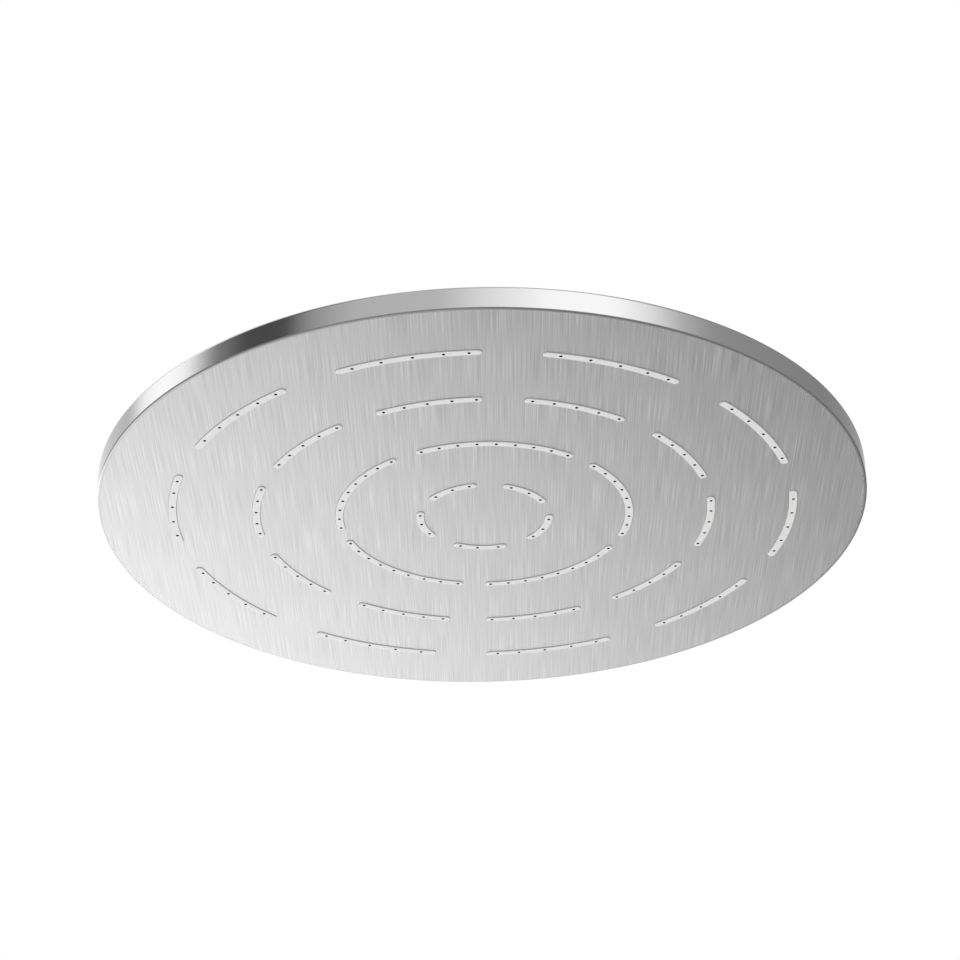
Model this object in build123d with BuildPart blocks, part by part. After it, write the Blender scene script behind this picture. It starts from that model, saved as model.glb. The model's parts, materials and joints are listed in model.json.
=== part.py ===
# Overhead shower head: a slim round head with slotted face, hung from a ball joint.
# Millimetres and degrees. The origin is on the inlet's axis where its thread starts, under the bevelled
# mouth, and +Z points up into the pipe.
from build123d import *
from collections import namedtuple
from math import acos, cos, degrees, radians, sin, sqrt, tan
import os

os.makedirs("parts", exist_ok=True)

# Rim and back cover
head_radius = 150.0
pan_sheet = 1.2
rim_edge_round = 0.5
rim_corner_round = 1.5
dome_rise = 6.0
dome_foot_radius = 66.0
dome_shoulder_radius = 34.0
dome_round = 14.0
plate_gap = 0.15

# Layers of the water chamber, from the face up
plate_sheet = 1.0
mat_thickness = 1.4
spray_thickness = 1.6
water_gap = 1.9
lid_sheet = 1.6
lid_clearance = 0.7

# Slots, ribs and nozzles
slot_width = 3.2
slot_clearance = 0.15
rib_proud = 0.3
rib_chamfer = 0.1
nozzle_radius = 0.6
feed_width = 2.0
inner_ring_radius = 25.3
ring_pitch = 32.2
ring_inset = 18.3

# Edge of the water chamber, counted inwards from the rim
lid_edge_gap = 1.4
screw_inset = 4.0
mat_edge_gap = 1.1
gasket_width = 3.0
screw_count = 12
boss_radius = 2.8
spacer_radius = 2.0
inner_spacer_count = 5
outer_spacer_count = 10

# Countersunk screws, and the play of a screw or a thread in its hole
screw_radius = 1.5
screw_head_radius = 2.75
screw_head_angle = 90.0
screw_length = 5.0
thread_play = 0.05

# Inlet neck
neck_wall = 2.82
column_radius = 20.0
flange_radius = 27.0
flange_thickness = 3.0
neck_water_radius = 6.0
neck_screw_inset = 3.5
neck_screw_count = 6
neck_screw_length = 4.0
lid_ring_radius = 15.0
lid_ring_section = 0.9
ring_squeeze_gap = 0.05

# Nut, washer and collar on the neck
pan_hole_play = 0.3
washer_thickness = 0.8
washer_radius = 21.5
locknut_flats = 40.0
locknut_height = 4.0
collar_gap = 0.6
collar_grip = 7.2
collar_wall = 4.05
collar_flat_wall = 1.55
collar_flats_height = 6.0
collar_cap = 1.2
collar_round = 3.0

# Ball joint, angles measured from the axis above the ball
ball_radius = 12.0
shank_radius = 6.5
shank_length = 17.0
waterway_radius = 4.5
ball_fit = 0.08
friction_wall = 1.4
friction_top_angle = 58.0
friction_bottom_angle = 85.0
collar_mouth_angle = 55.0
seal_top_angle = 105.0
seal_wall = 0.92
seal_seat_depth = 8.0
socket_drop = 3.0
cavity_play = 0.35
cavity_gap = 0.8

# Hexagon inlet with its thread, relief and pocket
hex_flats = 27.0
hex_height = 20.0
hex_bevel = 1.2
thread_radius = 10.48
thread_length = 10.2
mouth_bevel = 0.8
relief_depth = 0.52
relief_length = 3.0
pocket_radius = 7.2
pocket_depth = 4.0
washer_inner_radius = 6.6
inlet_washer_thickness = 2.0
seat_play = 0.2
strainer_radius = 8.8
strainer_thickness = 0.5
strainer_hole_radius = 0.7
strainer_pitch = 2.4
strainer_rows = 5
regulator_port_radius = 0.9
regulator_port_circle = 3.4
regulator_port_count = 8
regulator_lip = 1.0
regulator_ring_section = 0.7

# Levels, from the inlet's mouth down to the ball and the head
mouth_z = mouth_bevel
hex_z = mouth_z - hex_height
ball_z = hex_z - shank_length
neck_top_z = ball_z - socket_drop
collar_z = neck_top_z - collar_grip
locknut_top_z = collar_z - collar_gap
locknut_z = locknut_top_z - locknut_height
dome_z = locknut_z - washer_thickness
back_z = dome_z - dome_rise
lid_top_z = back_z - pan_sheet - lid_clearance
lid_z = lid_top_z - lid_sheet
spray_top_z = lid_z - water_gap
mat_top_z = spray_top_z - spray_thickness
plate_top_z = mat_top_z - mat_thickness
face_z = plate_top_z - plate_sheet

# Fits that several pieces share
pan_inner_radius = head_radius - pan_sheet
plate_radius = pan_inner_radius - plate_gap
lid_radius = pan_inner_radius - lid_edge_gap
screw_circle_radius = lid_radius - screw_inset
mat_radius = screw_circle_radius - boss_radius - mat_edge_gap
outer_ring_radius = mat_radius - ring_inset
third_ring_radius = outer_ring_radius - ring_pitch
second_ring_radius = third_ring_radius - ring_pitch
friction_inner_radius = ball_radius + ball_fit
friction_outer_radius = friction_inner_radius + friction_wall
collar_sphere_radius = friction_outer_radius + ball_fit
seal_radius = friction_inner_radius + seal_wall
socket_radius = seal_radius + ball_fit
cavity_radius = sqrt(friction_inner_radius**2 - seal_seat_depth**2) + cavity_play
cavity_depth = ball_radius + cavity_gap
neck_radius = socket_radius + neck_wall
neck_bore_radius = neck_radius + thread_play
collar_radius = neck_bore_radius + collar_wall
collar_flats = 2 * (neck_bore_radius + collar_flat_wall)
neck_screw_circle_radius = flange_radius - neck_screw_inset
inner_spacer_radius = (inner_ring_radius + second_ring_radius) / 2
outer_spacer_radius = (third_ring_radius + outer_ring_radius) / 2
screw_head_height = (screw_head_radius - screw_radius) / tan(radians(screw_head_angle / 2))
screw_hole_radius = screw_radius + thread_play
screw_sink_radius = screw_head_radius + thread_play
groove_depth = 2 * (lid_ring_section + ring_squeeze_gap)
relief_radius = thread_radius + relief_depth
regulator_groove = 2 * (regulator_ring_section + ring_squeeze_gap)
regulator_core_radius = pocket_radius - regulator_groove
thread_end_z = -thread_length
relief_z = thread_end_z - relief_length
pocket_z = relief_z - pocket_depth

# One ring of slots: nozzle angles are counted from the slot's middle nozzle
Ring = namedtuple("Ring", "radius slots turn start end nozzles")
rings = (
    Ring(inner_ring_radius, 5, 25.1, -26.5, 22.4, (-18.8, 0, 16.0)),
    Ring(second_ring_radius, 5, 58.9, -31.3, 31.5, tuple(7.3 * i for i in range(-4, 5))),
    Ring(third_ring_radius, 10, 4.9, -13.0, 13.2, (-11.0, -5.7, 0, 5.9, 11.7)),
    Ring(outer_ring_radius, 10, 6.3, -13.9, 11.8, (-10.8, -5.5, 0, 5.3, 9.6)),
)


# Point on a sphere about the ball's centre, in the XZ plane
def on_sphere(radius, angle):
    return (radius * sin(radians(angle)), ball_z + radius * cos(radians(angle)))


# Arc slots of every ring, as a sketch at height z
def slot_sketch(z, width):
    with BuildSketch(Plane.XY.offset(z)) as slots:
        for ring in rings:
            cap = degrees(slot_width / 2 / ring.radius)
            sweep = ring.end - ring.start - 2 * cap
            line = CenterArc((0, 0), ring.radius, ring.turn + ring.start + cap, sweep, mode=Mode.PRIVATE)
            with PolarLocations(0, ring.slots):
                SlotArc(line, width)
    return slots.sketch


# Round nozzles of every slot, as a sketch at height z
def nozzle_sketch(z):
    with BuildSketch(Plane.XY.offset(z)) as nozzles:
        for ring in rings:
            for angle in ring.nozzles:
                with PolarLocations(ring.radius, ring.slots, start_angle=ring.turn + angle):
                    Circle(nozzle_radius)
    return nozzles.sketch


# Countersunk screw, its head's flat face at z = 0 and its shank pointing down
def screw_solid(length):
    with BuildPart() as screw:
        with BuildSketch(Plane.XZ):
            with BuildLine():
                Polyline(
                    (0, 0),
                    (screw_head_radius, 0),
                    (screw_radius, -screw_head_height),
                    (screw_radius, -length),
                    (0, -length),
                    close=True,
                )
            make_face()
        revolve(axis=Axis.Z)
    return screw.part


# Hexagon bar from low_z to high_z with the usual turned bevel on its corners
def hex_bar(flats, low_z, high_z):
    corner = flats / sqrt(3)
    with BuildPart() as bar:
        with BuildSketch(Plane.XY.offset(low_z)):
            RegularPolygon(flats / 2, 6, major_radius=False)
        extrude(amount=high_z - low_z)
        with BuildSketch(Plane.XZ):
            with BuildLine():
                Polyline(
                    (0, low_z),
                    (corner - 2 * hex_bevel, low_z),
                    (corner, low_z + hex_bevel),
                    (corner, high_z - hex_bevel),
                    (corner - 2 * hex_bevel, high_z),
                    (0, high_z),
                    close=True,
                )
            make_face()
        revolve(axis=Axis.Z, mode=Mode.INTERSECT)
    return bar.part


# Back cover: the sheet's outer line from rim edge to neck hole, thickened inwards and turned
with BuildPart() as body_pan:
    with BuildSketch(Plane.XZ):
        with BuildLine():
            FilletPolyline(
                (head_radius, face_z),
                (head_radius, back_z),
                (dome_foot_radius, back_z),
                (dome_shoulder_radius, dome_z),
                (neck_radius + pan_hole_play, dome_z),
                radius=(rim_corner_round, dome_round, dome_round),
            )
            offset(amount=pan_sheet, side=Side.LEFT)
        make_face()
    revolve(axis=Axis.Z)
    rim_edge = body_pan.edges().filter_by(GeomType.CIRCLE).group_by(Axis.Z)[0].sort_by(SortBy.RADIUS)[-1]
    fillet(rim_edge, rim_edge_round)
body_pan.part.label = "body_pan"
export_step(body_pan.part, "parts/body_pan.step")

# Face plate with its arc slots
with BuildPart() as face_plate:
    with BuildSketch(Plane.XY.offset(face_z)):
        Circle(plate_radius)
        add(slot_sketch(face_z, slot_width), mode=Mode.SUBTRACT)
    extrude(amount=plate_sheet)
face_plate.part.label = "face_plate"
export_step(face_plate.part, "parts/face_plate.step")

# Silicone mat: a sheet with a bevelled rib through each slot, pierced by the nozzles
with BuildPart() as nozzle_mat:
    with BuildSketch(Plane.XY.offset(plate_top_z)):
        Circle(mat_radius)
    extrude(amount=mat_thickness)
    extrude(slot_sketch(plate_top_z, slot_width - 2 * slot_clearance), amount=-(plate_sheet + rib_proud))
    chamfer(nozzle_mat.faces().group_by(Axis.Z)[0].edges(), rib_chamfer)
    extrude(nozzle_sketch(face_z - rib_proud), amount=mat_top_z - face_z + rib_proud, mode=Mode.SUBTRACT)
nozzle_mat.part.label = "nozzle_mat"
export_step(nozzle_mat.part, "parts/nozzle_mat.step")

# Spray plate: a feed slot over each rib, and spacers that hold the lid off the plate
with BuildPart() as spray_plate:
    with BuildSketch(Plane.XY.offset(mat_top_z)):
        Circle(mat_radius)
        add(slot_sketch(mat_top_z, feed_width), mode=Mode.SUBTRACT)
    extrude(amount=spray_thickness)
    with BuildSketch(Plane.XY.offset(spray_top_z)):
        with PolarLocations(inner_spacer_radius, inner_spacer_count):
            Circle(spacer_radius)
        with PolarLocations(outer_spacer_radius, outer_spacer_count):
            Circle(spacer_radius)
    extrude(amount=water_gap)
spray_plate.part.label = "spray_plate"
export_step(spray_plate.part, "parts/spray_plate.step")

# Flat gasket round the water chamber
with BuildPart() as chamber_gasket:
    with BuildSketch(Plane.XY.offset(spray_top_z)):
        Circle(mat_radius)
        Circle(mat_radius - gasket_width, mode=Mode.SUBTRACT)
    extrude(amount=water_gap)
chamber_gasket.part.label = "chamber_gasket"
export_step(chamber_gasket.part, "parts/chamber_gasket.step")

# Lid of the water chamber: screws from above at its edge, and from below into the neck
with BuildPart() as chamber_lid:
    with BuildSketch(Plane.XY.offset(lid_z)):
        Circle(lid_radius)
        Circle(neck_water_radius, mode=Mode.SUBTRACT)
    extrude(amount=lid_sheet)
    with Locations(Plane.XY.offset(lid_top_z)):
        with PolarLocations(screw_circle_radius, screw_count):
            CounterSinkHole(screw_hole_radius, screw_sink_radius, lid_sheet, screw_head_angle)
    with Locations(Plane.XY.offset(lid_z).rotated((180, 0, 0))):
        with PolarLocations(neck_screw_circle_radius, neck_screw_count):
            CounterSinkHole(screw_hole_radius, screw_sink_radius, lid_sheet, screw_head_angle)
chamber_lid.part.label = "chamber_lid"
export_step(chamber_lid.part, "parts/chamber_lid.step")

# Bosses welded on the back of the face plate, tapped for the lid's screws
with BuildPart() as weld_bosses:
    with BuildSketch(Plane.XY.offset(plate_top_z)):
        with PolarLocations(screw_circle_radius, screw_count):
            Circle(boss_radius)
            Circle(screw_hole_radius, mode=Mode.SUBTRACT)
    extrude(amount=lid_z - plate_top_z)
weld_bosses.part.label = "weld_bosses"
export_step(weld_bosses.part, "parts/weld_bosses.step")

# Screws that hold the lid on the bosses
with BuildPart() as chamber_screws:
    with Locations(Plane.XY.offset(lid_top_z)):
        with PolarLocations(screw_circle_radius, screw_count):
            add(screw_solid(screw_length))
chamber_screws.part.label = "chamber_screws"
export_step(chamber_screws.part, "parts/chamber_screws.step")

# Screws that hold the lid on the neck, heads down
with BuildPart() as neck_screws:
    with Locations(Plane.XY.offset(lid_z).rotated((180, 0, 0))):
        with PolarLocations(neck_screw_circle_radius, neck_screw_count):
            add(screw_solid(neck_screw_length))
neck_screws.part.label = "neck_screws"
export_step(neck_screws.part, "parts/neck_screws.step")

# Neck: flange on the lid, column under the pan, threaded neck with the ball's socket
with BuildPart() as inlet_neck:
    with BuildSketch(Plane.XZ):
        with BuildLine():
            Polyline(
                (neck_water_radius, lid_top_z),
                (flange_radius, lid_top_z),
                (flange_radius, lid_top_z + flange_thickness),
                (column_radius, lid_top_z + flange_thickness),
                (column_radius, dome_z - pan_sheet),
                (neck_radius, dome_z - pan_sheet),
                (neck_radius, neck_top_z),
                (socket_radius, neck_top_z),
                (socket_radius, ball_z - seal_seat_depth),
                (cavity_radius, ball_z - seal_seat_depth),
                (cavity_radius, ball_z - cavity_depth),
                (neck_water_radius, ball_z - cavity_depth),
                close=True,
            )
        make_face()
    revolve(axis=Axis.Z)
    with BuildSketch(Plane.XY.offset(lid_top_z)):
        Circle(lid_ring_radius + groove_depth / 2)
        Circle(lid_ring_radius - groove_depth / 2, mode=Mode.SUBTRACT)
    extrude(amount=groove_depth, mode=Mode.SUBTRACT)
    with BuildSketch(Plane.XY.offset(lid_top_z)):
        with PolarLocations(neck_screw_circle_radius, neck_screw_count):
            Circle(screw_hole_radius)
    extrude(amount=flange_thickness, mode=Mode.SUBTRACT)
inlet_neck.part.label = "inlet_neck"
export_step(inlet_neck.part, "parts/inlet_neck.step")

# Rubber ring in the groove of the neck's flange
with BuildPart() as lid_o_ring:
    with BuildSketch(Plane.XZ):
        with Locations((lid_ring_radius, lid_top_z + groove_depth / 2)):
            Circle(lid_ring_section)
    revolve(axis=Axis.Z)
lid_o_ring.part.label = "lid_o_ring"
export_step(lid_o_ring.part, "parts/lid_o_ring.step")

# Washer on the pan
with BuildPart() as pan_washer:
    with BuildSketch(Plane.XY.offset(dome_z)):
        Circle(washer_radius)
        Circle(neck_bore_radius, mode=Mode.SUBTRACT)
    extrude(amount=washer_thickness)
pan_washer.part.label = "pan_washer"
export_step(pan_washer.part, "parts/pan_washer.step")

# Thin hexagon nut
with BuildPart() as locknut:
    add(hex_bar(locknut_flats, locknut_z, locknut_top_z))
    with BuildSketch(Plane.XY.offset(locknut_z)):
        Circle(neck_bore_radius)
    extrude(amount=locknut_height, mode=Mode.SUBTRACT)
locknut.part.label = "locknut"
export_step(locknut.part, "parts/locknut.step")

# Collar: threaded on the neck, with a spherical seat over the friction ring
with BuildPart() as collar_nut:
    mouth = on_sphere(collar_sphere_radius, collar_mouth_angle)
    collar_top_z = mouth[1] + collar_cap
    with BuildSketch(Plane.XZ):
        with BuildLine():
            Polyline(
                (collar_sphere_radius, ball_z),
                (collar_sphere_radius, neck_top_z),
                (neck_bore_radius, neck_top_z),
                (neck_bore_radius, collar_z),
                (collar_radius, collar_z),
                (collar_radius, collar_top_z),
                (mouth[0] + collar_cap, collar_top_z),
                mouth,
            )
            CenterArc((0, ball_z), collar_sphere_radius, 0, 90 - collar_mouth_angle)
        make_face()
    revolve(axis=Axis.Z)
    top_edges = collar_nut.edges().filter_by(GeomType.CIRCLE).group_by(Axis.Z)[-1]
    fillet(top_edges.sort_by(SortBy.RADIUS)[-1], collar_round)
    with BuildSketch(Plane.XY.offset(collar_z)):
        Circle(2 * collar_radius)
        Rectangle(4 * collar_radius, collar_flats, mode=Mode.SUBTRACT)
    extrude(amount=collar_flats_height, mode=Mode.SUBTRACT)
collar_nut.part.label = "collar_nut"
export_step(collar_nut.part, "parts/collar_nut.step")

# Friction ring between ball and collar, spherical inside and out
with BuildPart() as friction_ring:
    with BuildSketch(Plane.XZ):
        with BuildLine():
            lower_angle = 90 - friction_bottom_angle
            ring_sweep = friction_bottom_angle - friction_top_angle
            inner = CenterArc((0, ball_z), friction_inner_radius, lower_angle, ring_sweep)
            outer = CenterArc((0, ball_z), friction_outer_radius, lower_angle, ring_sweep)
            Line(inner @ 0, outer @ 0)
            Line(inner @ 1, outer @ 1)
        make_face()
    revolve(axis=Axis.Z)
friction_ring.part.label = "friction_ring"
export_step(friction_ring.part, "parts/friction_ring.step")

# Cup seal under the ball
with BuildPart() as ball_seal:
    with BuildSketch(Plane.XZ):
        with BuildLine():
            seal_top = on_sphere(friction_inner_radius, seal_top_angle)
            seal_bottom_angle = degrees(acos(-seal_seat_depth / friction_inner_radius))
            seal_bottom = on_sphere(friction_inner_radius, seal_bottom_angle)
            seal_sweep = seal_bottom_angle - seal_top_angle
            CenterArc((0, ball_z), friction_inner_radius, 90 - seal_bottom_angle, seal_sweep)
            Polyline(seal_top, (seal_radius, seal_top[1]), (seal_radius, seal_bottom[1]), seal_bottom)
        make_face()
    revolve(axis=Axis.Z)
ball_seal.part.label = "ball_seal"
export_step(ball_seal.part, "parts/ball_seal.step")

# Ball, shank and hexagon inlet in one piece, bored through
with BuildPart() as ball_stem:
    add(hex_bar(hex_flats, hex_z, mouth_z))
    with BuildSketch(Plane.XY.offset(ball_z)):
        Circle(shank_radius)
    extrude(amount=shank_length)
    with Locations((0, 0, ball_z)):
        Sphere(ball_radius)
    with BuildSketch(Plane.XZ):
        with BuildLine():
            Polyline(
                (0, mouth_z),
                (thread_radius + mouth_bevel, mouth_z),
                (thread_radius, 0),
                (thread_radius, thread_end_z),
                (relief_radius, thread_end_z),
                (relief_radius, relief_z),
                (pocket_radius, relief_z),
                (pocket_radius, pocket_z),
                (waterway_radius, pocket_z),
                (waterway_radius, ball_z - ball_radius),
                (0, ball_z - ball_radius),
                close=True,
            )
        make_face()
    revolve(axis=Axis.Z, mode=Mode.SUBTRACT)
ball_stem.part.label = "ball_stem"
export_step(ball_stem.part, "parts/ball_stem.step")

# Rubber washer in the thread's relief, stepped for the strainer
with BuildPart() as inlet_washer:
    washer_top_z = relief_z + inlet_washer_thickness
    strainer_z = washer_top_z - strainer_thickness
    with BuildSketch(Plane.XY.offset(relief_z)):
        Circle(relief_radius - seat_play)
        Circle(washer_inner_radius, mode=Mode.SUBTRACT)
    extrude(amount=inlet_washer_thickness)
    with BuildSketch(Plane.XY.offset(strainer_z)):
        Circle(strainer_radius + seat_play)
    extrude(amount=strainer_thickness, mode=Mode.SUBTRACT)
inlet_washer.part.label = "inlet_washer"
export_step(inlet_washer.part, "parts/inlet_washer.step")

# Perforated strainer on the washer's step
with BuildPart() as filter_screen:
    with BuildSketch(Plane.XY.offset(strainer_z)):
        Circle(strainer_radius)
        with HexLocations(strainer_pitch / 2, strainer_rows, strainer_rows):
            Circle(strainer_hole_radius, mode=Mode.SUBTRACT)
    extrude(amount=strainer_thickness)
filter_screen.part.label = "filter_screen"
export_step(filter_screen.part, "parts/filter_screen.step")

# Flow regulator on the pocket's floor, with a groove for its ring
with BuildPart() as flow_regulator:
    groove_z = pocket_z + regulator_lip
    with BuildSketch(Plane.XY.offset(pocket_z)):
        Circle(pocket_radius - seat_play)
    extrude(amount=2 * regulator_lip + regulator_groove)
    with BuildSketch(Plane.XY.offset(groove_z)):
        Circle(pocket_radius)
        Circle(regulator_core_radius, mode=Mode.SUBTRACT)
    extrude(amount=regulator_groove, mode=Mode.SUBTRACT)
    with BuildSketch(Plane.XY.offset(pocket_z)):
        with PolarLocations(regulator_port_circle, regulator_port_count):
            Circle(regulator_port_radius)
    extrude(amount=2 * regulator_lip + regulator_groove, mode=Mode.SUBTRACT)
flow_regulator.part.label = "flow_regulator"
export_step(flow_regulator.part, "parts/flow_regulator.step")

# Rubber ring in the regulator's groove
with BuildPart() as regulator_o_ring:
    with BuildSketch(Plane.XZ):
        ring_centre = (regulator_core_radius + regulator_groove / 2, groove_z + regulator_groove / 2)
        with Locations(ring_centre):
            Circle(regulator_ring_section)
    revolve(axis=Axis.Z)
regulator_o_ring.part.label = "regulator_o_ring"
export_step(regulator_o_ring.part, "parts/regulator_o_ring.step")
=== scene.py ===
import json
import math

import bmesh
import bpy
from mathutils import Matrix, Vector


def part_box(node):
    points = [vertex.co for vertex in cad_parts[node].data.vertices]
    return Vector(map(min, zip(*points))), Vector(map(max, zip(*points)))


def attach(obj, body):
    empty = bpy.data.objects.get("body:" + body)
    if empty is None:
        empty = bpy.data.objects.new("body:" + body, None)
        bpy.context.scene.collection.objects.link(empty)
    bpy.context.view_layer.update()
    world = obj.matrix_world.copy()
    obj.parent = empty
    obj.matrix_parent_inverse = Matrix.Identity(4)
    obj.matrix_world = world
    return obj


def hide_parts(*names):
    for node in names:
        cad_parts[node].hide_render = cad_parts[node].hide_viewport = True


# Overhead shower head: brushed face with silicone nozzle ribs, polished rim, ball joint on its back
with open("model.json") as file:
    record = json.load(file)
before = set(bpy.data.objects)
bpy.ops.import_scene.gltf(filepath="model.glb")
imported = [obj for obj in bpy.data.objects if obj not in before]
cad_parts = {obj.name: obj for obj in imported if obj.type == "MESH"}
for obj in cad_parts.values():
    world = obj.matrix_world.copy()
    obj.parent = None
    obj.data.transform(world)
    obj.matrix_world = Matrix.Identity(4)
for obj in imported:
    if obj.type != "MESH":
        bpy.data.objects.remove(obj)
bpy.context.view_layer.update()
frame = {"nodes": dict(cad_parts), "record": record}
nodes = frame["nodes"]
scene = bpy.context.scene
print("frame loaded,", len(nodes), "nodes")


def mm(size):  # millimetres to metres
    return size / 1000


def levels(node):  # lowest and highest z of a node, in mm
    low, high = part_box(node)
    return round(low.z * 1000, 3), round(high.z * 1000, 3)


def hexColor(text):  # sRGB hex to linear colour
    parts = [int(text[i:i + 2], 16) / 255 for i in (1, 3, 5)]
    linear = [c / 12.92 if c <= 0.04045 else ((c + 0.055) / 1.055) ** 2.4 for c in parts]
    return (*linear, 1.0)


def addNode(tree, kind, settings=None, links=None):
    node = tree.nodes.new(kind)
    for key, value in (settings or {}).items():
        if isinstance(key, str) and hasattr(node, key):
            setattr(node, key, value)
        else:
            node.inputs[key].default_value = value
    for key, socket in (links or {}).items():
        tree.links.new(socket, node.inputs[key])
    return node


# Materials

def startMaterial(name, look):
    material = bpy.data.materials.new(name)
    material.use_nodes = True
    tree = material.node_tree
    shader = tree.nodes["Principled BSDF"]
    for key, value in look.items():
        shader.inputs[key].default_value = value
    place = addNode(tree, "ShaderNodeTexCoord").outputs["Object"]
    return material, tree, shader, place


noiseSpan = {"From Min": 0.25, "From Max": 0.75}  # where most of a noise lies
bumpHeight = mm(0.05)  # of a pattern's full swing


def grain(tree, place, sizes, detail):  # noise whose grains have these sizes in mm along x, y, z
    scale = [1 / mm(size) for size in sizes]
    mapped = addNode(tree, "ShaderNodeMapping", {"Scale": scale}, {"Vector": place}).outputs[0]
    settings = {"Scale": 1.0, "Detail": detail}
    return addNode(tree, "ShaderNodeTexNoise", settings, {"Vector": mapped}).outputs["Fac"]


def vary(tree, shader, pattern, look):  # one pattern varies tone, roughness and height
    wide = addNode(tree, "ShaderNodeMapRange", noiseSpan, {"Value": pattern}).outputs["Result"]
    settings = {"data_type": "RGBA", 6: hexColor(look["dark"]), 7: hexColor(look["light"])}
    tone = addNode(tree, "ShaderNodeMix", settings, {0: wide}).outputs[2]
    low, high = look["roughness"]
    rough = addNode(tree, "ShaderNodeMix", {2: low, 3: high}, {0: wide}).outputs[0]
    settings = {"Strength": look["bump"], "Distance": bumpHeight}
    bump = addNode(tree, "ShaderNodeBump", settings, {"Height": wide}).outputs[0]
    tree.links.new(tone, shader.inputs["Base Color"])
    tree.links.new(rough, shader.inputs["Roughness"])
    tree.links.new(bump, shader.inputs["Normal"])
    return tone


# Stainless sheet, straight brushed: hairlines along Y, stray scratches, highlights smeared across them
brushedFace = {
    "dark": "#CCCCCC",
    "light": "#E0E0E0",
    "hairMm": (0.5, 45, 45),  # hairlines are finer than this on the real sheet, drawn coarser to show
    "bandMm": (2.2, 150, 150),
    "scratchMm": (0.36, 32, 32),
    "hairShare": 0.65,
    "calm": (0.5, 0.2),  # share of hairlines and bands, and the level they rest on
    "scratchShare": 0.6,
    "scratchPower": 3.0,  # odd, so that the strongest swings stay, both light and dark
    "roughness": (0.30, 0.40),
    "anisotropic": 0.75,
    "bump": 0.05,
}


def makeBrushedFace(look):
    base = {"Metallic": 1.0, "Anisotropic": look["anisotropic"]}
    material, tree, shader, place = startMaterial("brushedStainless", base)
    hair = grain(tree, place, look["hairMm"], detail=3.0)
    band = grain(tree, place, look["bandMm"], detail=2.0)
    both = addNode(tree, "ShaderNodeMix", {0: look["hairShare"]}, {2: band, 3: hair}).outputs[0]
    share, rest = look["calm"]
    settings = {"operation": "MULTIPLY_ADD", 1: share, 2: rest}
    both = addNode(tree, "ShaderNodeMath", settings, {0: both}).outputs[0]
    stray = grain(tree, place, look["scratchMm"], detail=0.0)
    settings = {"clamp": False, **noiseSpan, "To Min": -1.0, "To Max": 1.0}
    swing = addNode(tree, "ShaderNodeMapRange", settings, {"Value": stray}).outputs["Result"]
    settings = {"operation": "POWER", 1: look["scratchPower"]}
    sparse = addNode(tree, "ShaderNodeMath", settings, {0: swing}).outputs[0]
    settings = {"operation": "MULTIPLY_ADD", 1: look["scratchShare"]}
    pattern = addNode(tree, "ShaderNodeMath", settings, {0: sparse, 2: both}).outputs[0]
    vary(tree, shader, pattern, look)
    tangent = addNode(tree, "ShaderNodeTangent", {"direction_type": "UV_MAP", "uv_map": "grain"})
    tree.links.new(tangent.outputs[0], shader.inputs["Tangent"])
    return material


# Stainless sheet, spun and polished: mirror-like, with faint turning lines round the axis
polishedRim = {
    "dark": "#D0D0D0",
    "light": "#D4D4D4",
    "lineMm": 0.35,
    "cloudMm": 40,
    "cloudShare": 0.35,
    "roughness": (0.11, 0.15),
    "bump": 0.01,
}


def makePolished(look):
    material, tree, shader, place = startMaterial("polishedStainless", {"Metallic": 1.0})
    split = addNode(tree, "ShaderNodeSeparateXYZ", None, {0: place}).outputs
    flat = addNode(tree, "ShaderNodeCombineXYZ", None, {"X": split["X"], "Y": split["Y"]}).outputs[0]
    reach = addNode(tree, "ShaderNodeVectorMath", {"operation": "LENGTH"}, {0: flat}).outputs["Value"]
    profile = addNode(tree, "ShaderNodeCombineXYZ", None, {"X": reach, "Y": split["Z"]}).outputs[0]
    lines = grain(tree, profile, (look["lineMm"],) * 3, detail=2.0)
    cloud = grain(tree, place, (look["cloudMm"],) * 3, detail=2.0)
    both = addNode(tree, "ShaderNodeMix", {0: look["cloudShare"]}, {2: lines, 3: cloud}).outputs[0]
    vary(tree, shader, both, look)
    return material


# Brass, turned and chrome plated: bright cool mirror with a few soft water marks
chromePlate = {"dark": "#DFE0E2", "light": "#E6E7E9", "grainMm": 9, "roughness": (0.05, 0.10), "bump": 0.01}
# Stainless sheet as rolled: dull grey with a fine rolling grain
milledSheet = {"dark": "#B2B2AF", "light": "#BFBFBC", "grainMm": 3, "roughness": (0.32, 0.46), "bump": 0.03}
# Silicone, moulded: pale grey with a soft dull sheen, with painted shade inside its nozzles
silicone = {
    "dark": "#DADADA",
    "light": "#E5E5E5",
    # painted shade: the inside of the nozzle bores is coloured near black
    "bore": "#2C2C2C",
    "grainMm": 1.2,
    "roughness": (0.42, 0.55),
    "bump": 0.04,
}
# Rubber, moulded: near black, matt, with a fine bloom
blackRubber = {"dark": "#161616", "light": "#222222", "grainMm": 0.8, "roughness": (0.55, 0.7), "bump": 0.1}
# Acetal, moulded: black and waxy
blackAcetal = {"dark": "#17181A", "light": "#1F2022", "grainMm": 2.5, "roughness": (0.3, 0.42), "bump": 0.03}
# ABS, moulded: warm white with a faint orange peel
whitePlastic = {"dark": "#E4E3DE", "light": "#ECEBE7", "grainMm": 2, "roughness": (0.35, 0.45), "bump": 0.05}


def makePlain(name, look, metallic=0.0):  # finish with one even grain
    material, tree, shader, place = startMaterial(name, {"Metallic": metallic})
    tone = vary(tree, shader, grain(tree, place, (look["grainMm"],) * 3, detail=3.0), look)
    if "bore" in look:  # the nozzles' inside is marked on the mesh and coloured dark there as painted shade
        boreShadeMask = addNode(tree, "ShaderNodeAttribute", {"attribute_name": "bore"}).outputs["Fac"]
        settings = {"data_type": "RGBA", 7: hexColor(look["bore"])}
        tone = addNode(tree, "ShaderNodeMix", settings, {0: boreShadeMask, 6: tone}).outputs[2]
        tree.links.new(tone, shader.inputs["Base Color"])
    return material


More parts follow.
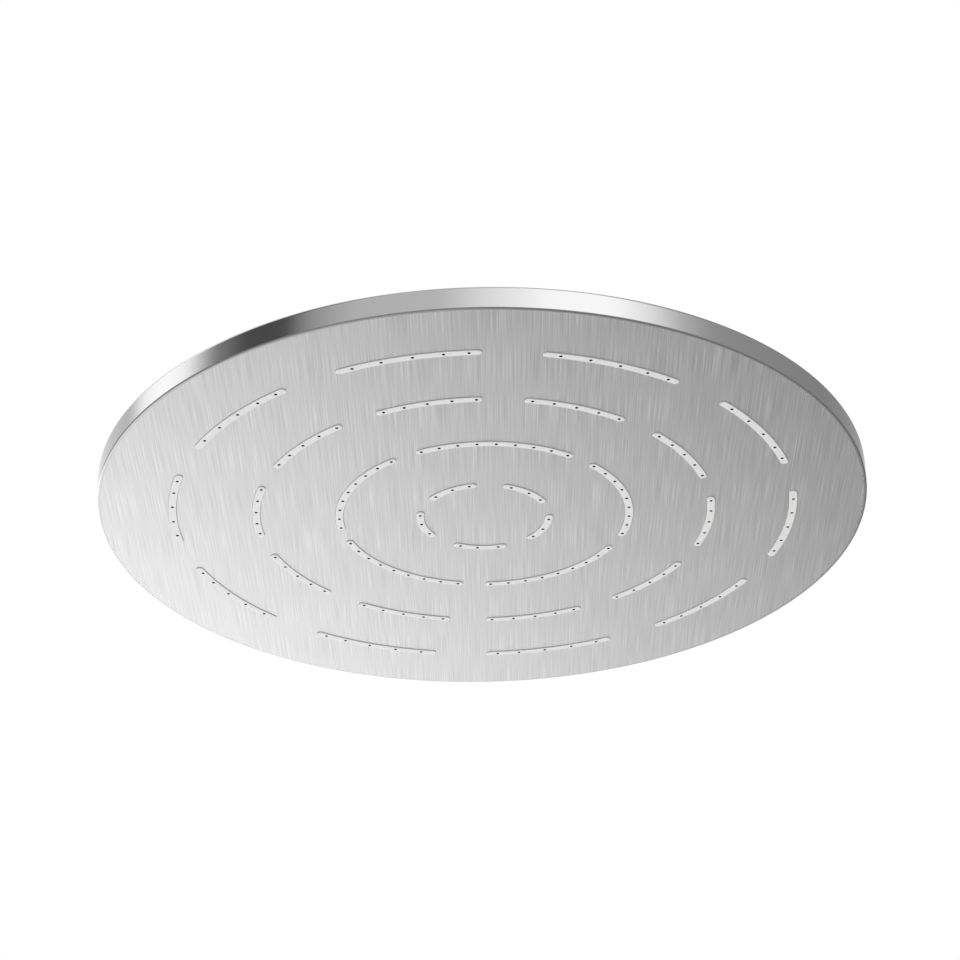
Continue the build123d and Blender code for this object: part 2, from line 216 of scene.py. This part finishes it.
finishes = {
    "brushed_stainless": makeBrushedFace(brushedFace),
    "polished_stainless": makePolished(polishedRim),
    "bare_stainless": makePlain("rolledStainless", milledSheet, 1.0),
    "chromed_brass": makePlain("chromedBrass", chromePlate, 1.0),
    "silicone": makePlain("mouldedSilicone", silicone),
    "black_rubber": makePlain("mouldedRubber", blackRubber),
    "acetal": makePlain("mouldedAcetal", blackAcetal),
    "white_plastic": makePlain("mouldedAbs", whitePlastic),
}
print("materials made,", len(finishes))


# Mesh tools
levelPlay = mm(0.001)  # points this close in height count as level
sharpAngle = math.radians(35)  # edges that turn more than this aren't shaded smooth


def roundedLine(corners, steps=8):  # closed outline of (radius, height, rounding) corners, in mm
    line = []
    for i, (x, y, rounding) in enumerate(corners):
        here = Vector((x, y))
        back = (Vector(corners[i - 1][:2]) - here).normalized()
        ahead = (Vector(corners[(i + 1) % len(corners)][:2]) - here).normalized()
        half = back.angle(ahead) / 2
        centre = here + (back + ahead).normalized() * rounding / math.sin(half)
        start = here + back * rounding / math.tan(half) - centre
        end = here + ahead * rounding / math.tan(half) - centre
        line += [centre + start.slerp(end, k / steps) * rounding for k in range(steps + 1)]
    return line


def bridge(bm, loops, closed=False):  # quads between loops with the same number of points
    pairs = list(zip(loops, loops[1:]))
    if closed:
        pairs.append((loops[-1], loops[0]))
    for first, second in pairs:
        for k in range(len(first)):
            bm.faces.new((first[k - 1], first[k], second[k], second[k - 1]))


def circleLoop(bm, radius, height, count, centre=(0, 0)):
    loop = []
    for k in range(count):
        angle = 2 * math.pi * k / count
        x = centre[0] + radius * math.cos(angle)
        y = centre[1] + radius * math.sin(angle)
        loop.append(bm.verts.new((mm(x), mm(y), mm(height))))
    return loop


def fillLevel(bm, height):  # flat face between all open edges at this height
    rim = [e for e in bm.edges if e.is_boundary or e.is_wire]
    rim = [e for e in rim if all(abs(v.co.z - mm(height)) < levelPlay for v in e.verts)]
    bmesh.ops.triangle_fill(bm, use_beauty=True, edges=rim, normal=(0, 0, 1))


def finishPiece(name, bm, body, slotName, *replaced):
    bmesh.ops.recalc_face_normals(bm, faces=bm.faces)
    mesh = bpy.data.meshes.new(name)
    bm.to_mesh(mesh)
    bm.free()
    mesh.shade_smooth()
    mesh.set_sharp_from_angle(angle=sharpAngle)
    mesh.materials.append(finishes[slotName])
    piece = bpy.data.objects.new(name, mesh)
    scene.collection.objects.link(piece)
    normals = piece.modifiers.new("evenNormals", "WEIGHTED_NORMAL")
    normals.keep_sharp = True
    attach(piece, body)
    if replaced:
        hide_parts(*replaced)
    print(name, len(mesh.polygons), "faces")
    return piece


# Back cover: one sheet from the rim's rolled edge over the flat back and the low dome to the neck
pan = {
    "sheet": 1.2,
    "edgeRound": 0.5,
    "innerRound": 0.02,
    "cornerRound": 1.5,
    "domeRise": 6.0,
    "domeFoot": 66.0,
    "domeShoulder": 34.0,
    "domeRound": 14.0,
    "hole": 16.2,
    "holeRound": 0.2,
    "segments": 320,
}
faceZ, plateTop = levels("face_plate")
rimZ, domeZ = levels("body_pan")
headRadius = round(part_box("body_pan")[1].x * 1000, 1)


def makePan(size):
    sheet = size["sheet"]
    backZ = domeZ - size["domeRise"]
    slope = math.atan2(size["domeRise"], size["domeFoot"] - size["domeShoulder"])
    shift = sheet * math.tan(slope / 2)
    outer = [
        (headRadius, rimZ, size["edgeRound"]),
        (headRadius, backZ, size["cornerRound"]),
        (size["domeFoot"], backZ, size["domeRound"]),
        (size["domeShoulder"], domeZ, size["domeRound"]),
        (size["hole"], domeZ, size["holeRound"]),
    ]
    inner = [
        (size["hole"], domeZ - sheet, size["holeRound"]),
        (size["domeShoulder"] - shift, domeZ - sheet, size["domeRound"] - sheet),
        (size["domeFoot"] - shift, backZ - sheet, size["domeRound"] + sheet),
        (headRadius - sheet, backZ - sheet, size["cornerRound"] - sheet),
        (headRadius - sheet, rimZ, size["innerRound"]),
    ]
    bm = bmesh.new()
    loops = [circleLoop(bm, r, z, size["segments"]) for r, z in roundedLine(outer + inner)]
    bridge(bm, loops, closed=True)
    return finishPiece("bodyPan", bm, "head", "polished_stainless", "body_pan")


makePan(pan)

# Four rings of arc slots: how many, the middle nozzle's angle, slot ends and nozzles counted from it
nineEven = [7.3 * i for i in range(-4, 5)]
slotRings = (
    {"radius": 25.3, "count": 5, "turn": 25.1, "ends": (-26.5, 22.4), "nozzles": (-18.8, 0, 16.0)},
    {"radius": 56.8, "count": 5, "turn": 58.9, "ends": (-31.3, 31.5), "nozzles": nineEven},
    {"radius": 89.0, "count": 10, "turn": 4.9, "ends": (-13.0, 13.2), "nozzles": (-11.0, -5.7, 0, 5.9, 11.7)},
    {"radius": 121.2, "count": 10, "turn": 6.3, "ends": (-13.9, 11.8), "nozzles": (-10.8, -5.5, 0, 5.3, 9.6)},
)
slot = {"width": 3.2, "sideStep": 1.4, "capSteps": 10, "roll": 0.08, "rollSteps": 3}
rib = {
    "clearance": 0.03,
    "shoulder": 0.22,
    "shoulderSteps": 3,
    "nozzle": 0.6,
    "lip": 0.04,
    "nozzleSides": 16,
}


def slotLoop(bm, ring, half, height):  # outline of one straightened slot, its length along x
    start, end = [ring["radius"] * math.radians(angle) for angle in ring["ends"]]
    start += slot["width"] / 2
    end -= slot["width"] / 2
    steps = math.ceil((end - start) / slot["sideStep"])
    along = [start + (end - start) * k / steps for k in range(steps + 1)]
    bend = [math.pi * (k / slot["capSteps"] - 0.5) for k in range(1, slot["capSteps"])]
    line = [(x, -half) for x in along]
    line += [(end + half * math.cos(a), half * math.sin(a)) for a in bend]
    line += [(x, half) for x in reversed(along)]
    line += [(start - half * math.cos(a), -half * math.sin(a)) for a in bend]
    return [bm.verts.new((mm(x), mm(y), mm(height))) for x, y in line]


def straightSlot(ring):  # rolled edge and wall of one slot in the sheet
    bm = bmesh.new()
    loops = []
    for k in range(slot["rollSteps"] + 1):
        lean = math.pi / 2 * k / slot["rollSteps"]
        half = slot["width"] / 2 + slot["roll"] * (1 - math.sin(lean))
        loops.append(slotLoop(bm, ring, half, faceZ + slot["roll"] * (1 - math.cos(lean))))
    loops.append(slotLoop(bm, ring, slot["width"] / 2, plateTop))
    bridge(bm, loops)
    return bm


def straightRib(ring):  # flat rib with its nozzles, from its end up into the mat
    bm = bmesh.new()
    ribZ, matTop = levels("nozzle_mat")
    # marks the nozzle bores, where the silicone is coloured dark as painted shade
    paintedBoreShade = bm.verts.layers.float.new("bore")
    half = slot["width"] / 2 - rib["clearance"]
    loops = []
    for k in range(rib["shoulderSteps"] + 1):
        lean = math.pi / 2 * k / rib["shoulderSteps"]
        reach = half - rib["shoulder"] * (1 - math.sin(lean))
        loops.append(slotLoop(bm, ring, reach, ribZ + rib["shoulder"] * (1 - math.cos(lean))))
    loops.append(slotLoop(bm, ring, half, plateTop))
    bridge(bm, loops)
    for angle in ring["nozzles"]:
        centre = (ring["radius"] * math.radians(angle), 0)
        bore = (
            (rib["nozzle"] + rib["lip"], ribZ),
            (rib["nozzle"], ribZ + rib["lip"]),
            (rib["nozzle"], matTop),
        )
        holes = [circleLoop(bm, r, z, rib["nozzleSides"], centre) for r, z in bore]
        bridge(bm, holes)
        # the bore walls take the painted shade
        for vert in holes[1] + holes[2]:
            vert[paintedBoreShade] = 1.0
    fillLevel(bm, ribZ)
    return bm


# Nodes that bend a straight strip round its ring and repeat it
def makeRingTree():
    tree = bpy.data.node_groups.new("roundTheRing", "GeometryNodeTree")
    sockets = (
        ("Strip", "INPUT", "NodeSocketGeometry"),
        ("Radius", "INPUT", "NodeSocketFloat"),
        ("Turn", "INPUT", "NodeSocketFloat"),
        ("Count", "INPUT", "NodeSocketInt"),
        ("Finish", "INPUT", "NodeSocketMaterial"),
        ("Ring", "OUTPUT", "NodeSocketGeometry"),
    )
    for name, way, kind in sockets:
        tree.interface.new_socket(name, in_out=way, socket_type=kind)
    given = addNode(tree, "NodeGroupInput").outputs
    position = addNode(tree, "GeometryNodeInputPosition").outputs[0]
    place = addNode(tree, "ShaderNodeSeparateXYZ", None, {0: position}).outputs
    swing = addNode(tree, "ShaderNodeMath", {"operation": "DIVIDE"}, {0: place["X"], 1: given["Radius"]})
    angle = addNode(tree, "ShaderNodeMath", {"operation": "ADD"}, {0: swing.outputs[0], 1: given["Turn"]})
    reach = addNode(tree, "ShaderNodeMath", {"operation": "SUBTRACT"}, {0: given["Radius"], 1: place["Y"]})
    cosine = addNode(tree, "ShaderNodeMath", {"operation": "COSINE"}, {0: angle.outputs[0]})
    sine = addNode(tree, "ShaderNodeMath", {"operation": "SINE"}, {0: angle.outputs[0]})
    links = {0: reach.outputs[0], 1: cosine.outputs[0]}
    x = addNode(tree, "ShaderNodeMath", {"operation": "MULTIPLY"}, links)
    links = {0: reach.outputs[0], 1: sine.outputs[0]}
    y = addNode(tree, "ShaderNodeMath", {"operation": "MULTIPLY"}, links)
    links = {"X": x.outputs[0], "Y": y.outputs[0], "Z": place["Z"]}
    bent = addNode(tree, "ShaderNodeCombineXYZ", None, links).outputs[0]
    strip = addNode(tree, "GeometryNodeSetPosition", None, {"Geometry": given["Strip"], "Position": bent})
    points = addNode(tree, "GeometryNodePoints", None, {"Count": given["Count"]})
    index = addNode(tree, "GeometryNodeInputIndex").outputs[0]
    step = addNode(tree, "ShaderNodeMath", {"operation": "DIVIDE", 0: 2 * math.pi}, {1: given["Count"]})
    turn = addNode(tree, "ShaderNodeMath", {"operation": "MULTIPLY"}, {0: index, 1: step.outputs[0]})
    euler = addNode(tree, "ShaderNodeCombineXYZ", None, {"Z": turn.outputs[0]})
    rotation = addNode(tree, "FunctionNodeEulerToRotation", None, {0: euler.outputs[0]})
    links = {"Points": points.outputs[0], "Instance": strip.outputs[0], "Rotation": rotation.outputs[0]}
    copies = addNode(tree, "GeometryNodeInstanceOnPoints", None, links)
    whole = addNode(tree, "GeometryNodeRealizeInstances", None, {0: copies.outputs[0]})
    links = {"Geometry": whole.outputs[0], "Material": given["Finish"]}
    coated = addNode(tree, "GeometryNodeSetMaterial", None, links)
    addNode(tree, "NodeGroupOutput", None, {0: coated.outputs[0]})
    return tree


def runTree(tree, mesh, values):  # plain mesh that the nodes make of this one
    carrier = bpy.data.objects.new("carrier", mesh)
    scene.collection.objects.link(carrier)
    modifier = carrier.modifiers.new("nodes", "NODES")
    modifier.node_group = tree
    for item in tree.interface.items_tree:
        if item.in_out == "INPUT" and item.name in values:
            modifier[item.identifier] = values[item.name]
    made = bpy.data.meshes.new_from_object(carrier.evaluated_get(bpy.context.evaluated_depsgraph_get()))
    carrier.modifiers.remove(modifier)
    bpy.data.objects.remove(carrier)
    return made


def roundTheRings(tree, straight, slotName):  # all rings of slots or ribs in one mesh
    whole = bmesh.new()
    for ring in slotRings:
        bm = straight(ring)
        mesh = bpy.data.meshes.new("strip")
        bm.to_mesh(mesh)
        bm.free()
        values = {
            "Radius": mm(ring["radius"]),
            "Turn": math.radians(ring["turn"]),
            "Count": ring["count"],
            "Finish": finishes[slotName],
        }
        whole.from_mesh(runTree(tree, mesh, values))
    return whole


ringTree = makeRingTree()
sheetEdge = {"plate": 148.79, "plateRound": 0.03, "mat": 139.5, "segments": 320}


def makePlate(size):
    bm = roundTheRings(ringTree, straightSlot, "brushed_stainless")
    soft = size["plateRound"]
    edge = ((size["plate"] - soft, faceZ), (size["plate"], faceZ + soft), (size["plate"], plateTop))
    bridge(bm, [circleLoop(bm, r, z, size["segments"]) for r, z in edge])
    fillLevel(bm, faceZ)
    fillLevel(bm, plateTop)
    plate = finishPiece("facePlate", bm, "head", "brushed_stainless", "face_plate")
    across = plate.data.uv_layers.new(name="grain")  # u runs across the brushing
    for corner in plate.data.loops:
        place = plate.data.vertices[corner.vertex_index].co
        across.data[corner.index].uv = (place.x / mm(headRadius), place.y / mm(headRadius))


def makeMat(size):
    bm = roundTheRings(ringTree, straightRib, "silicone")
    matTop = levels("nozzle_mat")[1]
    edge = ((size["mat"], plateTop), (size["mat"], matTop))
    bridge(bm, [circleLoop(bm, r, z, size["segments"]) for r, z in edge])
    fillLevel(bm, plateTop)
    fillLevel(bm, matTop)
    finishPiece("nozzleMat", bm, "head", "silicone", "nozzle_mat")


makePlate(sheetEdge)
makeMat(sheetEdge)

# Pipe thread cut in the inlet, G 1/2: 14 turns to the inch
thread = {
    "wall": 10.52,
    "depth": 1.2,
    "pitch": 1.814,
    "bottomZ": -9.8,
    "length": 9.5,
    "crest": 0.3,
    "root": 1.5,
    "leanDeg": -90,  # turns the ridge inwards
    "turnSteps": 64,
    "runOut": (0.08, 0.02),  # share of the length that tapers at each end, and the size left there
}
threadInputs = ("wall", "depth", "pitch", "length", "crest", "root")


def makeThreadTree(size):
    tree = bpy.data.node_groups.new("cutThread", "GeometryNodeTree")
    sockets = [(name.title(), "INPUT", "NodeSocketFloat") for name in threadInputs]
    sockets += [("Finish", "INPUT", "NodeSocketMaterial"), ("Thread", "OUTPUT", "NodeSocketGeometry")]
    for name, way, kind in sockets:
        tree.interface.new_socket(name, in_out=way, socket_type=kind)
    given = addNode(tree, "NodeGroupInput").outputs
    links = {0: given["Length"], 1: given["Pitch"]}
    turns = addNode(tree, "ShaderNodeMath", {"operation": "DIVIDE"}, links).outputs[0]
    wall = given["Wall"]
    links = {"Rotations": turns, "Start Radius": wall, "End Radius": wall, "Height": given["Length"]}
    path = addNode(tree, "GeometryNodeCurveSpiral", {"Resolution": size["turnSteps"]}, links).outputs[0]
    path = addNode(tree, "GeometryNodeSetCurveNormal", {"mode": "Z_UP"}, {"Curve": path}).outputs[0]
    along = addNode(tree, "GeometryNodeSplineParameter").outputs["Factor"]
    settings = {"operation": "PINGPONG", 1: 0.5}  # rises to the middle and falls again
    fromEnd = addNode(tree, "ShaderNodeMath", settings, {0: along}).outputs[0]
    share, left = size["runOut"]
    settings = {"From Max": share, "To Min": left}
    taper = addNode(tree, "ShaderNodeMapRange", settings, {"Value": fromEnd}).outputs["Result"]
    links = {"Bottom Width": given["Root"], "Top Width": given["Crest"], "Height": given["Depth"]}
    settings = {"mode": "TRAPEZOID", "Offset": 0.0}
    section = addNode(tree, "GeometryNodeCurvePrimitiveQuadrilateral", settings, links).outputs[0]
    settings = {"operation": "MULTIPLY", 1: 0.5}
    half = addNode(tree, "ShaderNodeMath", settings, {0: given["Depth"]}).outputs[0]
    raised = addNode(tree, "ShaderNodeCombineXYZ", None, {"Y": half}).outputs[0]
    links = {"Geometry": section, "Translation": raised}
    section = addNode(tree, "GeometryNodeTransform", None, links).outputs[0]
    settings = {"Rotation": (0, 0, math.radians(size["leanDeg"]))}
    section = addNode(tree, "GeometryNodeTransform", settings, {"Geometry": section}).outputs[0]
    links = {"Curve": path, "Profile Curve": section, "Scale": taper}
    ridge = addNode(tree, "GeometryNodeCurveToMesh", {"Fill Caps": True}, links).outputs[0]
    whole = addNode(tree, "GeometryNodeRealizeInstances", None, {0: ridge}).outputs[0]
    links = {"Geometry": whole, "Material": given["Finish"]}
    coated = addNode(tree, "GeometryNodeSetMaterial", None, links)
    addNode(tree, "NodeGroupOutput", None, {0: coated.outputs[0]})
    return tree


def makeThread(size):
    values = {name.title(): mm(size[name]) for name in threadInputs}
    values["Finish"] = finishes["chromed_brass"]
    bm = bmesh.new()
    bm.from_mesh(runTree(makeThreadTree(size), bpy.data.meshes.new("thread"), values))
    bmesh.ops.translate(bm, verts=bm.verts, vec=(0, 0, mm(size["bottomZ"])))
    finishPiece("inletThread", bm, "connector", "chromed_brass")


makeThread(thread)

# Turned fittings on the back: the solids with their edges eased, as a lathe and a polish leave them
easedEdges = {
    "ball_stem": ("ballStem", "connector", 0.35),
    "collar_nut": ("collarNut", "head", 0.3),
    "locknut": ("lockNut", "head", 0.3),
    "pan_washer": ("panWasher", "head", 0.15),
    "inlet_neck": ("inletNeck", "head", 0.1),
}
easing = {"weldMm": 0.002, "flatDeg": 0.5, "cornerDeg": 30, "segments": 3}
slotOf = {row["node"]: row["material_slot"] for row in frame["record"]["subparts"]}


def easeEdges(node, name, body, width):
    bm = bmesh.new()
    bm.from_mesh(nodes[node].data)
    bmesh.ops.remove_doubles(bm, verts=bm.verts, dist=mm(easing["weldMm"]))
    flat = math.radians(easing["flatDeg"])
    bmesh.ops.dissolve_limit(bm, angle_limit=flat, verts=bm.verts, edges=bm.edges)
    piece = finishPiece(name, bm, body, slotOf[node], node)
    bevel = piece.modifiers.new("easedEdges", "BEVEL")
    bevel.width = mm(width)
    bevel.segments = easing["segments"]
    bevel.limit_method = "ANGLE"
    bevel.angle_limit = math.radians(easing["cornerDeg"])
    piece.modifiers.move(1, 0)  # ahead of the normals


for node, (name, body, width) in easedEdges.items():
    easeEdges(node, name, body, width)

# The other nodes keep their solids and take the finish of their own material
shown = [node for node in nodes if not nodes[node].hide_render]
for node in shown:
    nodes[node].data.materials.clear()
    nodes[node].data.materials.append(finishes[slotOf[node]])
print("finished", len(shown), "inner nodes")

# Stage: pale floor far below, since the camera looks up from under the head
stage = {
    "floorZ": -2.6,
    "floorRadius": 60.0,
    "floorSides": 96,
    "floor": "#E4E4E2",
    "roughness": 0.9,
    "sky": "#FFFFFF",
    "skyLevel": 0.8,
}


def makeFloor(size):
    bm = bmesh.new()
    bmesh.ops.create_circle(bm, cap_ends=True, segments=size["floorSides"], radius=size["floorRadius"])
    bmesh.ops.translate(bm, verts=bm.verts, vec=(0, 0, size["floorZ"]))
    mesh = bpy.data.meshes.new("floor")
    bm.to_mesh(mesh)
    bm.free()
    look = {"Base Color": hexColor(size["floor"]), "Roughness": size["roughness"]}
    mesh.materials.append(startMaterial("palePaper", look)[0])
    floor = bpy.data.objects.new("floor", mesh)
    scene.collection.objects.link(floor)
    floor.visible_glossy = False  # the metal mirrors the light tent instead


def makeSky(size):  # white where it is seen or mirrored, softer as light
    world = bpy.data.worlds.new("studio")
    scene.world = world
    world.use_nodes = True
    tree = world.node_tree
    path = addNode(tree, "ShaderNodeLightPath").outputs
    links = {0: path["Is Camera Ray"], 1: path["Is Glossy Ray"]}
    seen = addNode(tree, "ShaderNodeMath", {"operation": "MAXIMUM"}, links)
    links = {0: seen.outputs[0], 1: path["Is Transmission Ray"]}
    seen = addNode(tree, "ShaderNodeMath", {"operation": "MAXIMUM"}, links)
    settings = {"To Min": size["skyLevel"], "To Max": 1.0}
    level = addNode(tree, "ShaderNodeMapRange", settings, {"Value": seen.outputs[0]})
    background = tree.nodes["Background"]
    background.inputs["Color"].default_value = hexColor(size["sky"])
    tree.links.new(level.outputs[0], background.inputs["Strength"])


makeFloor(stage)
makeSky(stage)

# Lamps: one over the floor, and one low at the far left that lifts the ribs and leaves their near sides dark
lamps = {
    "overhead": {"at": (0.0, 0.0, 2.5), "aim": (0.0, 0.0, 0.0), "size": 3.0, "watts": 42},
    "underLeft": {"at": (-0.9, 1.6, -1.3), "aim": (0.0, 0.0, -0.07), "size": 1.5, "watts": 27},
}


def makeLamp(name, look):
    data = bpy.data.lights.new(name, "AREA")
    data.size = look["size"]
    data.energy = look["watts"]
    lamp = bpy.data.objects.new(name, data)
    lamp.location = look["at"]
    lamp.rotation_euler = (Vector(look["aim"]) - lamp.location).to_track_quat("-Z", "Y").to_euler()
    lamp.visible_glossy = False
    scene.collection.objects.link(lamp)


for name, look in lamps.items():
    makeLamp(name, look)

# Light tent that only the metal mirrors: panels round the head, a soft sweep behind it, dark in front
tent = {
    "radius": 6.0,
    "segments": (64, 32),
    "gain": 1.5,  # brightest panel
    "panels": (  # degrees from the camera's side, plus to its right, and level
        (-180, 1.2), (-150, 0.78), (-126, 0.62), (-116, 1.32), (-104, 1.48), (-95, 1.28), (-84, 0.3),
        (-72, 0.09), (-58, 0.09), (-50, 0.42), (-36, 0.66), (-12, 0.68), (2, 1.06), (20, 1.42),
        (38, 1.46), (50, 1.12), (60, 0.64), (71, 0.39), (120, 0.3), (155, 0.4), (180, 1.1),
    ),
    "front": 0.3,
    "top": 0.6,
    # angles where each change starts and ends, in degrees, and the levels there
    "around": (-180, 180, 0, 1),
    "panelFoot": (8, 18, 0, 1),
    "panelTop": (55, 75, 0, 1),
    "sweepSide": (-20, 18, 1.83, 0.10),
    "sweepRise": (-38, -8, 0.31, 2.15),
    "sweepEdge": (30, 50, 0, 1),
}


def makeTent(look):
    bm = bmesh.new()
    around, upward = look["segments"]
    bmesh.ops.create_uvsphere(bm, u_segments=around, v_segments=upward, radius=look["radius"])
    mesh = bpy.data.meshes.new("lightTent")
    bm.to_mesh(mesh)
    bm.free()
    material = bpy.data.materials.new("lightTent")
    material.use_nodes = True
    tree = material.node_tree
    tree.nodes.clear()
    place = addNode(tree, "ShaderNodeTexCoord").outputs["Object"]
    toward = addNode(tree, "ShaderNodeVectorMath", {"operation": "NORMALIZE"}, {0: place}).outputs[0]
    split = addNode(tree, "ShaderNodeSeparateXYZ", None, {0: toward}).outputs
    rise = addNode(tree, "ShaderNodeMath", {"operation": "ARCSINE"}, {0: split["Z"]}).outputs[0]
    far = addNode(tree, "ShaderNodeMath", {"operation": "ARCTAN2"}, {0: split["X"], 1: split["Y"]}).outputs[0]
    flip = addNode(tree, "ShaderNodeMath", {"operation": "MULTIPLY", 1: -1.0}, {0: split["Y"]}).outputs[0]
    near = addNode(tree, "ShaderNodeMath", {"operation": "ARCTAN2"}, {0: split["X"], 1: flip}).outputs[0]
    offFar = addNode(tree, "ShaderNodeMath", {"operation": "ABSOLUTE"}, {0: far}).outputs[0]
    angles = {
        "around": near,
        "panelFoot": rise,
        "panelTop": rise,
        "sweepSide": far,
        "sweepRise": rise,
        "sweepEdge": offFar,
    }
    change = {}
    for key, angle in angles.items():
        start, end, low, high = look[key]
        span = {"From Min": math.radians(start), "From Max": math.radians(end)}
        settings = {**span, "To Min": low, "To Max": high}
        change[key] = addNode(tree, "ShaderNodeMapRange", settings, {"Value": angle}).outputs["Result"]
    links = {0: change["sweepSide"], 1: change["sweepRise"]}
    sweep = addNode(tree, "ShaderNodeMath", {"operation": "MULTIPLY"}, links).outputs[0]
    links = {0: change["sweepEdge"], 2: sweep}
    low = addNode(tree, "ShaderNodeMix", {3: look["front"]}, links).outputs[0]
    panels = addNode(tree, "ShaderNodeValToRGB", None, {0: change["around"]})
    stops = panels.color_ramp.elements
    while len(stops) < len(look["panels"]):
        stops.new(0.5)
    for stop, (degrees, level) in zip(stops, look["panels"]):
        stop.position = (degrees + 180) / 360
        stop.color = (level / look["gain"],) * 3 + (1,)
    settings = {"operation": "MULTIPLY", 1: look["gain"]}
    ring = addNode(tree, "ShaderNodeMath", settings, {0: panels.outputs["Color"]}).outputs[0]
    level = addNode(tree, "ShaderNodeMix", None, {0: change["panelFoot"], 2: low, 3: ring}).outputs[0]
    level = addNode(tree, "ShaderNodeMix", {3: look["top"]}, {0: change["panelTop"], 2: level}).outputs[0]
    glow = addNode(tree, "ShaderNodeEmission", None, {"Strength": level})
    addNode(tree, "ShaderNodeOutputMaterial", None, {"Surface": glow.outputs[0]})
    mesh.materials.append(material)
    dome = bpy.data.objects.new("lightTent", mesh)
    scene.collection.objects.link(dome)
    dome.visible_camera = False
    dome.visible_diffuse = False
    dome.visible_transmission = False
    dome.visible_shadow = False


makeTent(tent)

# Camera: below and straight in front of the head, fitted to its outline and nozzles with a small lens shift
view = {
    "fromFaceMm": (-0.48, -989.86, -546.49),
    "turnDeg": (119.565, 2.412, -1.861),
    "lensMm": 107.919,
    "sensorMm": 36,
    "shift": (-0.15, 0.0),
}


def makeCamera(size):
    data = bpy.data.cameras.new("camera")
    data.lens = size["lensMm"]
    data.sensor_width = size["sensorMm"]
    data.shift_x, data.shift_y = size["shift"]
    camera = bpy.data.objects.new("camera", data)
    camera.location = [mm(c) for c in size["fromFaceMm"]]
    camera.location.z += mm(faceZ)
    camera.rotation_euler = [math.radians(a) for a in size["turnDeg"]]
    scene.collection.objects.link(camera)
    scene.camera = camera


makeCamera(view)
scene.view_settings.view_transform = "Standard"
print("stage and camera set")
